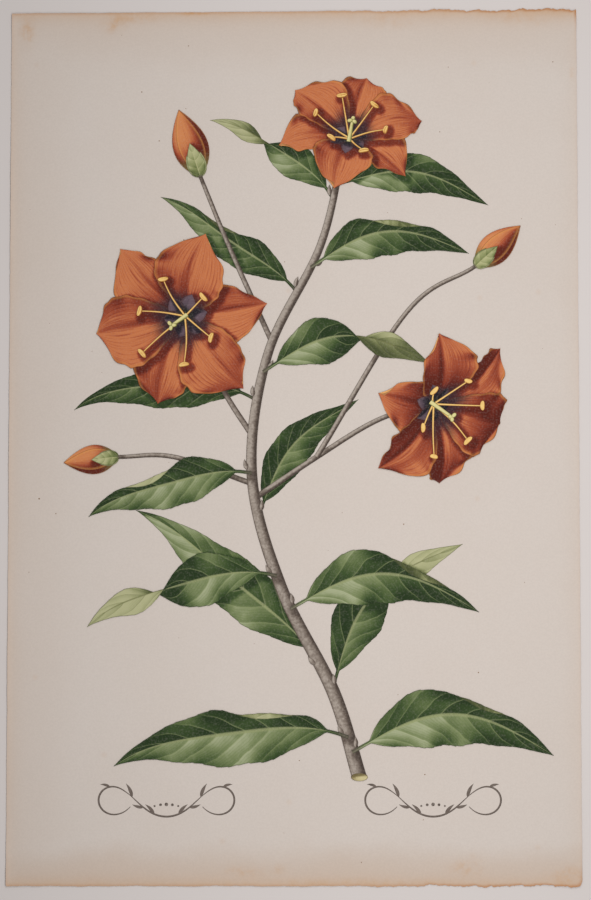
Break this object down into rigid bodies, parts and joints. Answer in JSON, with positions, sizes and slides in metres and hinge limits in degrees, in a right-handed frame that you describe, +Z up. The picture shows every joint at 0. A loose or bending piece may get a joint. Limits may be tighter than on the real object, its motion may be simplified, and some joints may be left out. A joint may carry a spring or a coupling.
{
  "type": "botanical print sheet",
  "caption": "Loose old botanical print: a toned paper sheet with deckle edges, lying flat, that carries a colour study of a flowering branch with two scroll ornaments below it.",
  "frame": {"origin": "under the middle of the sheet, on the surface that it lies on", "axes": "+Y towards the top of the picture, +X to the picture's right, +Z up out of its printed face"},
  "size_m": [0.354, 0.5399, 0.0014],
  "materials": {
    "paper": "heavy wove rag paper, matt, toned with age at its edges",
    "green_ink": "thin dry printing ink, matt",
    "pale_green_ink": "thin dry printing ink, matt",
    "deep_red_ink": "thin dry printing ink, matt",
    "orange_red_ink": "thin dry printing ink, matt",
    "violet_ink": "thin dry printing ink, matt",
    "yellow_ink": "thin dry printing ink, matt",
    "brown_ink": "thin dry printing ink, matt",
    "pale_ink": "thin dry printing ink, matt",
    "grey_ink": "thin dry printing ink, matt"
  },
  "bodies": {
    "root": {"sheet": "paper", "ink_stem": "brown_ink", "ink_cut_end": "pale_ink", "ink_leaf_01": "green_ink", "ink_leaf_02": "green_ink", "ink_leaf_03": "green_ink", "ink_leaf_04": "green_ink", "ink_leaf_05": "green_ink", "ink_leaf_06": "green_ink", "ink_leaf_07": "green_ink", "ink_leaf_08": "green_ink", "ink_leaf_09": "green_ink", "ink_leaf_10": "green_ink", "ink_leaf_11": "green_ink", "ink_leaf_12": "green_ink", "ink_leaf_13": "green_ink", "ink_leaf_14": "green_ink", "ink_bloom_1_twig": "brown_ink", "ink_bloom_1_outer_petals": "deep_red_ink", "ink_bloom_1_inner_petals": "orange_red_ink", "ink_bloom_1_heart": "violet_ink", "ink_bloom_1_stamens": "yellow_ink", "ink_bloom_2_twig": "brown_ink", "ink_bloom_2_outer_petals": "deep_red_ink", "ink_bloom_2_inner_petals": "orange_red_ink", "ink_bloom_2_heart": "violet_ink", "ink_bloom_2_stamens": "yellow_ink", "ink_bloom_3_twig": "brown_ink", "ink_bloom_3_outer_petals": "deep_red_ink", "ink_bloom_3_inner_petals": "orange_red_ink", "ink_bloom_3_heart": "violet_ink", "ink_bloom_3_stamens": "yellow_ink", "ink_bud_1_twig": "brown_ink", "ink_bud_1": "orange_red_ink", "ink_bud_1_sepal": "pale_green_ink", "ink_bud_2_twig": "brown_ink", "ink_bud_2": "orange_red_ink", "ink_bud_2_sepal": "pale_green_ink", "ink_bud_3_twig": "brown_ink", "ink_bud_3": "orange_red_ink", "ink_bud_3_sepal": "pale_green_ink", "ink_ornament_left": "grey_ink", "ink_ornament_right": "grey_ink"}
  },
  "joints": []
}
